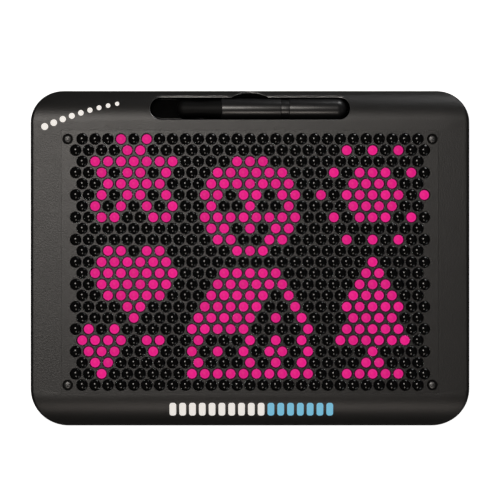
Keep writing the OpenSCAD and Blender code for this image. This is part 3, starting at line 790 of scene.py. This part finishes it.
def turned(profile, centre, sides=48):
    """A profile of (radius, height) turned round an upright axis at centre, closed at both ends."""
    rings = [lifted(circle(centre, r, sides), z) for r, z in profile]
    points, faces = bands(rings)
    return [(points, faces), (points, np.arange(sides)[::-1][None]),
            (points, (np.arange(sides) + sides * (len(rings) - 1))[None])]


foot_low, foot_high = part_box("rubber_feet")
foot_profile = [(r * MM, foot_low[2] + z * MM) for r, z in
                ((5.4, 0.5), (5.9, 0.15), (6.6, 0), (7.2, 0.06), (7.6, 0.35), (7.8, 0.8), (8, 1.4))]
foot_profile.append((8 * MM, foot_high[2]))
feet = moulded("rubber_foot_set", [part for p in FOOT_PLACES for part in turned(foot_profile, p)], "board")
feet.data.materials.append(plastic("foot_rubber", (0.03, 0.03, 0.03), 0.75, 0.5, 2500))
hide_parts("rubber_feet")


def softened(node, body, material, width):
    """A copy of a CAD node, merged and with its sharp edges rounded, in place of the node."""
    mesh = frame["nodes"][node].data.copy()
    points = np.array([v.co[:] for v in mesh.vertices])
    _, first, same = np.unique(np.round(points * 1e6), axis=0, return_index=True, return_inverse=True)
    faces = same.ravel()[np.array([p.vertices[:] for p in mesh.polygons])]
    faces = faces[(faces[:, 0] != faces[:, 1]) & (faces[:, 1] != faces[:, 2]) & (faces[:, 2] != faces[:, 0])]
    piece = moulded(node + "_moulding", [(points[first], faces)], body, 25)
    bevel = piece.modifiers.new("edges", "BEVEL")
    bevel.width = width
    bevel.segments = 2
    bevel.limit_method = "ANGLE"
    bevel.angle_limit = np.radians(40)
    bevel.harden_normals = True
    piece.data.materials.append(material)
    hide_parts(node)


softened("battery_door", "board", rear_piece.data.materials[0], 0.15 * MM)
softened("reset_grip", "reset_slide", plastic("grip_plastic", (0.03, 0.03, 0.032), 0.45, 0.3),
         0.2 * MM)


# ---- Buttons ----------------------------------------------------------------------------
# Two round buttons stand a little proud of the back, with dished faces. Their flanges keep
# them in and rest on the switches' own springs.

for node, colour in (("power_button", (0.45, 0.02, 0.02)), ("mode_button", (0.16, 0.16, 0.17))):
    low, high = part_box(node)
    z, flange_z = low[2], high[2] - 1 * MM
    button_profile = [(0.3 * MM, z + 0.45 * MM), (2 * MM, z + 0.38 * MM), (3.4 * MM, z + 0.15 * MM),
                      (4.3 * MM, z), (4.8 * MM, z + 0.1 * MM), (5 * MM, z + 0.4 * MM), (5 * MM, flange_z),
                      (6.5 * MM, flange_z), (6.5 * MM, high[2])]
    button = moulded(node + "_cap", turned(button_profile, sum(plan_box(node)) / 2), node)
    button.data.materials.append(plastic(node + "_plastic", colour, 0.3, 0.05, coat=0.3))
    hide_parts(node)


# ---- Stylus -----------------------------------------------------------------------------
# A hollow black stylus lies loose in its tray: a round nib, a barrel, a collar and a cap
# with a round end, pressed together. Its tip pushes the pins in.

STYLUS_Z = (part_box("stylus_barrel")[0][2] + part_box("stylus_barrel")[1][2]) / 2
STYLUS_R, COLLAR_R, NIB_R = 8 * MM, 7.4 * MM, 6.5 * MM


def along_stylus(profile, sides=64):
    """A profile of (place along X, radius) turned round the stylus's axis, closed at both ends."""
    turn = 2 * np.pi * np.arange(sides) / sides
    rings = [np.column_stack([np.full(sides, x), TRAY_Y + r * np.cos(turn), STYLUS_Z + r * np.sin(turn)])
             for x, r in profile]
    points, faces = bands(rings)
    return [(points, faces), (points, np.arange(sides)[::-1][None]),
            (points, (np.arange(sides) + sides * (len(rings) - 1))[None])]


def rounded_bar(x0, x1, r, left, right):
    """A bar's profile from x0 to x1: quarter-round ends of radii left and right."""
    turns = np.radians(np.linspace(0, 90, 9))
    start = [(x0 + left * (1 - np.cos(t)), r - left * (1 - np.sin(t))) for t in turns]
    end = [(x1 - right * (1 - np.cos(t)), r - right * (1 - np.sin(t))) for t in turns[::-1]]
    return start + end


def stylus_piece(node, profile, material):
    """One turned piece of the stylus in place of its CAD node."""
    piece = moulded(node + "_turned", along_stylus(profile), "stylus")
    piece.data.materials.append(material)
    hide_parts(node)


stylus_plastic = plastic("stylus_plastic", (0.012, 0.012, 0.013), 0.3, 0.1, ior=1.6)
# The nib's rubber is made darker and given an index under any real rubber's: painted shade that keeps it as
# dark as the tray round it.
nib_rubber = plastic("nib_rubber", (0.003, 0.003, 0.003), 0.55, 0.05, ior=1.25)
stylus_ends = {node: (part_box(node)[0][0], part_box(node)[1][0])
               for node in ("stylus_nib", "stylus_barrel", "stylus_collar", "stylus_cap")}
nib_start, nib_end = stylus_ends["stylus_nib"]
nib_profile = [(nib_start + NIB_R * (1 - np.cos(t)), max(NIB_R * np.sin(t), 0.05 * MM))
               for t in np.radians(np.linspace(0, 90, 12))]
nib_profile += [(nib_start + 20.5 * MM, 6 * MM), (nib_start + 24 * MM, 6.3 * MM), (nib_end, 7.1 * MM)]
stylus_piece("stylus_nib", nib_profile, nib_rubber)
for node, radius, left, right in (("stylus_barrel", STYLUS_R, 1, 0.6), ("stylus_collar", COLLAR_R, 0.1, 0.1),
                                  ("stylus_cap", STYLUS_R, 0.6, 7.95)):
    profile = rounded_bar(*stylus_ends[node], radius, left * MM, right * MM)
    stylus_piece(node, profile, stylus_plastic)


# ---- Studio -----------------------------------------------------------------------------
# The board lies on white paper and is seen from straight above. A box high at the upper left
# lights the face and gives every pin its small dot. The others light the edges and the stylus.


def soft_box(name, place, target, size, power, colour=(1, 1, 1)):
    """A rectangular area light at place that faces target."""
    lamp = bpy.data.lights.new(name, "AREA")
    lamp.color = colour
    lamp.shape = "RECTANGLE"
    lamp.size, lamp.size_y = size
    lamp.energy = power
    holder = bpy.data.objects.new(name, lamp)
    bpy.context.scene.collection.objects.link(holder)
    holder.location = place
    aim = np.subtract(target, place)
    holder.rotation_euler = (np.arctan2(np.hypot(aim[0], aim[1]), -aim[2]), 0, np.arctan2(-aim[0], aim[1]))


paper = plastic("floor_paper", (0.9, 0.9, 0.9), 0.9, 0.02, 600, drift=0.02)
paper_inputs = paper.node_tree.nodes["Principled BSDF"].inputs
paper_inputs["Emission Color"].default_value = (1, 1, 1, 1)
paper_inputs["Emission Strength"].default_value = 0.95
floor_mesh = bpy.data.meshes.new("floor")
floor_mesh.from_pydata([(-6, -6, 0), (6, -6, 0), (6, 6, 0), (-6, 6, 0)], [], [(0, 1, 2, 3)])
floor_mesh.materials.append(paper)
floor = bpy.data.objects.new("floor", floor_mesh)
bpy.context.scene.collection.objects.link(floor)
floor.visible_glossy = False

world = bpy.data.worlds.new("studio")
world.use_nodes = True
sky_inputs = world.node_tree.nodes["Background"].inputs
sky_inputs["Color"].default_value = (1.0, 0.98, 0.96, 1)
sky_inputs["Strength"].default_value = 0.04
bpy.context.scene.world = world

soft_box("key_box", (-0.27, 0.36, 1.4), (0, 0, 0), (0.4, 0.4), 7.3, (1, 0.94, 0.88))
soft_box("front_box", (0, -1.0, 1.2), (0, 0.05, 0), (0.25, 0.3), 2.5, (1, 0.9, 0.82))
soft_box("back_right_box", (0.45, 1.1, 0.28), (0.1, 0.1, 0), (0.4, 0.2), 2.4)
soft_box("lower_right_box", (0.85, -1.05, 0.5), (0.05, -0.05, 0), (0.5, 0.35), 0.8)

VIEW_WIDTH = 0.3872
VIEW_Y = 6.4 * MM
CAMERA_DISTANCE = 3.0
camera_data = bpy.data.cameras.new("camera")
camera = bpy.data.objects.new("camera", camera_data)
bpy.context.scene.collection.objects.link(camera)
camera.location = (0, VIEW_Y, FACE_Z + CAMERA_DISTANCE)
camera_data.sensor_width = 36
camera_data.lens = camera_data.sensor_width * CAMERA_DISTANCE / VIEW_WIDTH
bpy.context.scene.camera = camera
bpy.context.scene.view_settings.view_transform = "Standard"
